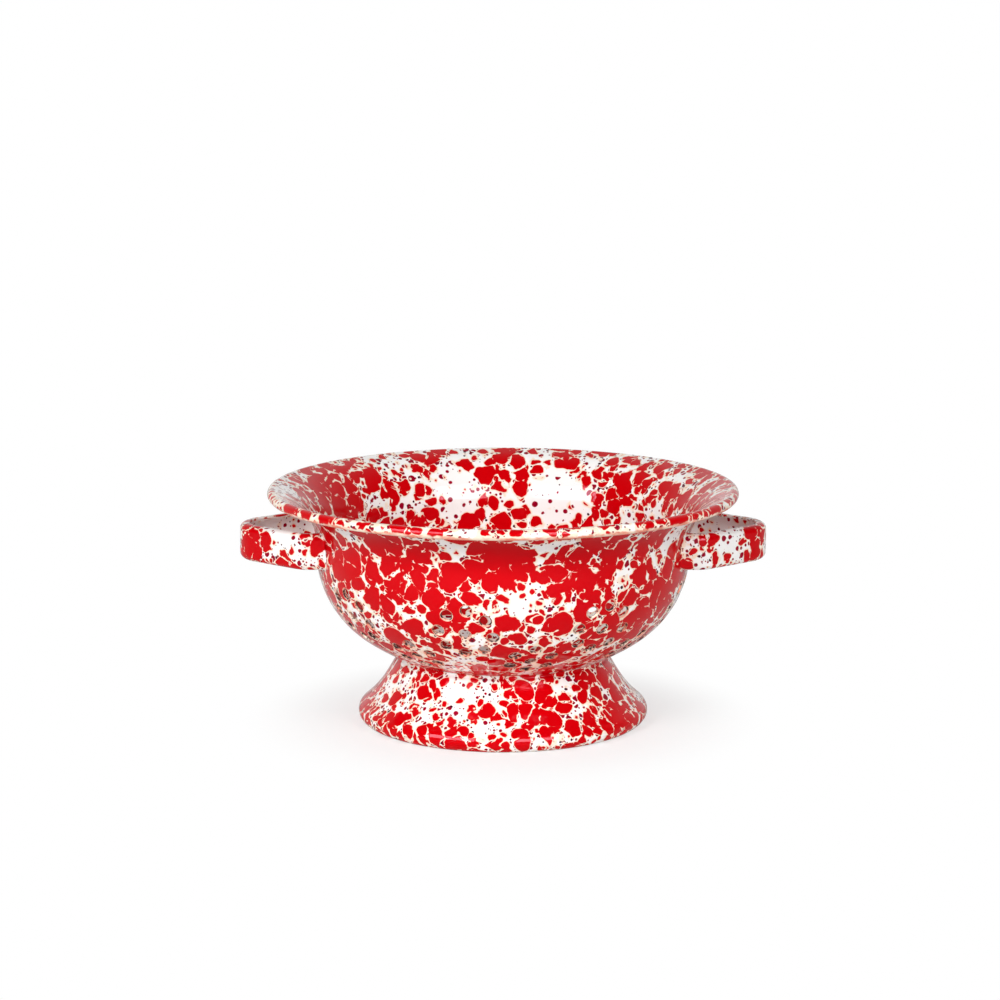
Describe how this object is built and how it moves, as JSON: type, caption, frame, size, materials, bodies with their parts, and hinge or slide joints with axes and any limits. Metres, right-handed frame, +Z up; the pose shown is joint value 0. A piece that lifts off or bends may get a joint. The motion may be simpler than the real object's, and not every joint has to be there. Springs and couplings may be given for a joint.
{
  "type": "footed colander",
  "caption": "Small footed colander in splatter-enamelled steel: flared rolled rim, rosettes of round drain holes, flared foot ring and side strap handles.",
  "frame": {"origin": "centre of the foot ring, on the surface that it stands on", "axes": "+Z up along the bowl's axis, +X from the left handle to the right handle, -Y towards the side that the picture shows"},
  "size_m": [0.2128, 0.19, 0.096],
  "materials": {
    "splatter_enamel": "glossy vitreous enamel, red splatter on white",
    "weld_steel": "plain steel spot-weld nugget, hidden between the sheets"
  },
  "bodies": {
    "root": {"bowl": "splatter_enamel", "foot_ring": "splatter_enamel", "left_handle": "splatter_enamel", "right_handle": "splatter_enamel", "left_handle_welds": "weld_steel", "right_handle_welds": "weld_steel", "foot_welds": "weld_steel"}
  },
  "joints": []
}
